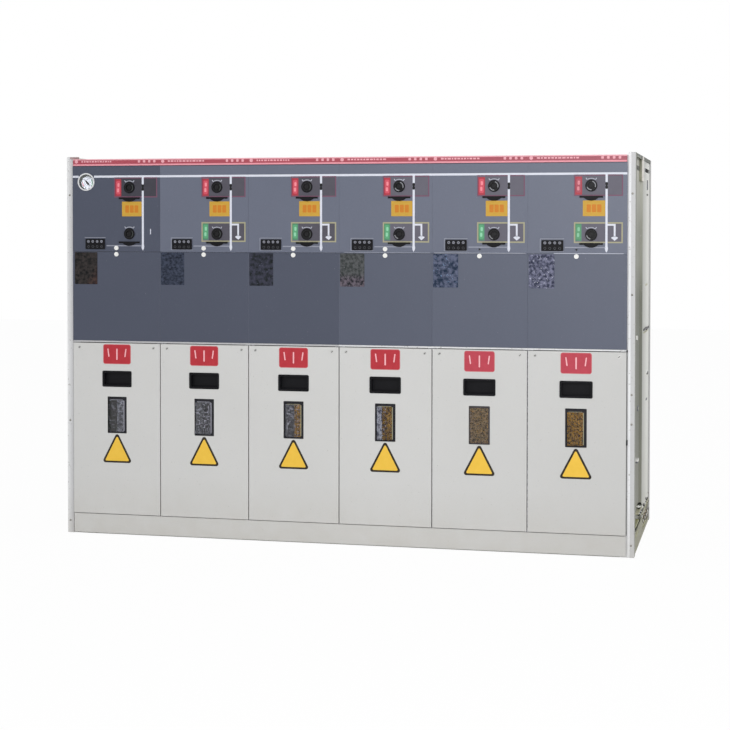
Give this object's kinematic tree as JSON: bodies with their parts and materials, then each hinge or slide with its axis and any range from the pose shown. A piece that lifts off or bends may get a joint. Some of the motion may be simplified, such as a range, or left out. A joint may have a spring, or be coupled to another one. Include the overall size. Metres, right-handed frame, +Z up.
{
  "type": "gas insulated ring main unit lineup",
  "caption": "Floor standing lineup of equal medium voltage bays with removable lower doors, mimic panels and turning operating shafts.",
  "frame": {"origin": "on the floor, in the middle of the lineup's outline", "axes": "+X along the lineup, to the right as seen from the front; the front faces -Y; +Z up"},
  "size_m": [2.32, 0.918, 1.55],
  "materials": {
    "light_grey_paint": "satin textured powder coat",
    "dark_grey_paint": "satin textured powder coat",
    "galvanised_steel": "galvanised, dull",
    "red_paint": "satin",
    "red_plastic": "gloss",
    "green_plastic": "gloss",
    "black_plastic": "moulded, satin",
    "black_steel": "blackened",
    "white_plastic": "moulded, satin",
    "insulating_board": "laminated board",
    "tinned_copper": "tinned",
    "gauge_steel": "polished",
    "window_glass": "wired glass",
    "clear_glass": "clear"
  },
  "bodies": {
    "lineup": {"base_rails": "galvanised_steel", "base_crossmembers": "galvanised_steel", "plinth_skirt": "light_grey_paint", "floor_plates": "galvanised_steel", "front_posts": "light_grey_paint", "rear_posts": "light_grey_paint", "side_panels": "galvanised_steel", "bay_partitions": "galvanised_steel", "barrier_boards": "insulating_board", "mid_rail": "light_grey_paint", "middle_panels": "dark_grey_paint", "mimic_panels": "dark_grey_paint", "header_strip": "red_paint", "roof_covers": "light_grey_paint", "rear_panels": "light_grey_paint", "earth_terminal": "tinned_copper", "window_frames": "black_plastic", "window_panes": "window_glass", "pull_cups": "black_plastic", "operating_bushings": "black_plastic", "interlock_slides": "black_steel", "load_flags": "red_plastic", "earth_flags": "green_plastic", "voltage_indicators": "black_plastic", "panel_caps": "white_plastic", "gauge_case": "gauge_steel", "gauge_glass": "clear_glass", "door_1": "light_grey_paint", "door_2": "light_grey_paint", "door_3": "light_grey_paint", "door_4": "light_grey_paint", "door_5": "light_grey_paint", "door_6": "light_grey_paint"},
    "load_shaft_1": {"load_shaft_1": "black_steel"},
    "load_shaft_2": {"load_shaft_2": "black_steel"},
    "load_shaft_3": {"load_shaft_3": "black_steel"},
    "load_shaft_4": {"load_shaft_4": "black_steel"},
    "load_shaft_5": {"load_shaft_5": "black_steel"},
    "load_shaft_6": {"load_shaft_6": "black_steel"},
    "earth_shaft_1": {"earth_shaft_1": "black_steel"},
    "earth_shaft_2": {"earth_shaft_2": "black_steel"},
    "earth_shaft_3": {"earth_shaft_3": "black_steel"},
    "earth_shaft_4": {"earth_shaft_4": "black_steel"},
    "earth_shaft_5": {"earth_shaft_5": "black_steel"},
    "earth_shaft_6": {"earth_shaft_6": "black_steel"}
  },
  "joints": [
    {"name": "load_shaft_1_turn", "type": "hinge", "parent": "lineup", "child": "load_shaft_1", "pos_m": [-0.882, -0.453, 1.423], "axis": [0, 1, 0], "range_deg": [0, 90]},
    {"name": "load_shaft_2_turn", "type": "hinge", "parent": "lineup", "child": "load_shaft_2", "pos_m": [-0.507, -0.453, 1.423], "axis": [0, 1, 0], "range_deg": [0, 90]},
    {"name": "load_shaft_3_turn", "type": "hinge", "parent": "lineup", "child": "load_shaft_3", "pos_m": [-0.132, -0.453, 1.423], "axis": [0, 1, 0], "range_deg": [0, 90]},
    {"name": "load_shaft_4_turn", "type": "hinge", "parent": "lineup", "child": "load_shaft_4", "pos_m": [0.243, -0.453, 1.423], "axis": [0, 1, 0], "range_deg": [0, 90]},
    {"name": "load_shaft_5_turn", "type": "hinge", "parent": "lineup", "child": "load_shaft_5", "pos_m": [0.618, -0.453, 1.423], "axis": [0, 1, 0], "range_deg": [0, 90]},
    {"name": "load_shaft_6_turn", "type": "hinge", "parent": "lineup", "child": "load_shaft_6", "pos_m": [0.993, -0.453, 1.423], "axis": [0, 1, 0], "range_deg": [0, 90]},
    {"name": "earth_shaft_1_turn", "type": "hinge", "parent": "lineup", "child": "earth_shaft_1", "pos_m": [-0.882, -0.453, 1.235], "axis": [0, 1, 0], "range_deg": [0, 90]},
    {"name": "earth_shaft_2_turn", "type": "hinge", "parent": "lineup", "child": "earth_shaft_2", "pos_m": [-0.507, -0.453, 1.235], "axis": [0, 1, 0], "range_deg": [0, 90]},
    {"name": "earth_shaft_3_turn", "type": "hinge", "parent": "lineup", "child": "earth_shaft_3", "pos_m": [-0.132, -0.453, 1.235], "axis": [0, 1, 0], "range_deg": [0, 90]},
    {"name": "earth_shaft_4_turn", "type": "hinge", "parent": "lineup", "child": "earth_shaft_4", "pos_m": [0.243, -0.453, 1.235], "axis": [0, 1, 0], "range_deg": [0, 90]},
    {"name": "earth_shaft_5_turn", "type": "hinge", "parent": "lineup", "child": "earth_shaft_5", "pos_m": [0.618, -0.453, 1.235], "axis": [0, 1, 0], "range_deg": [0, 90]},
    {"name": "earth_shaft_6_turn", "type": "hinge", "parent": "lineup", "child": "earth_shaft_6", "pos_m": [0.993, -0.453, 1.235], "axis": [0, 1, 0], "range_deg": [0, 90]}
  ]
}
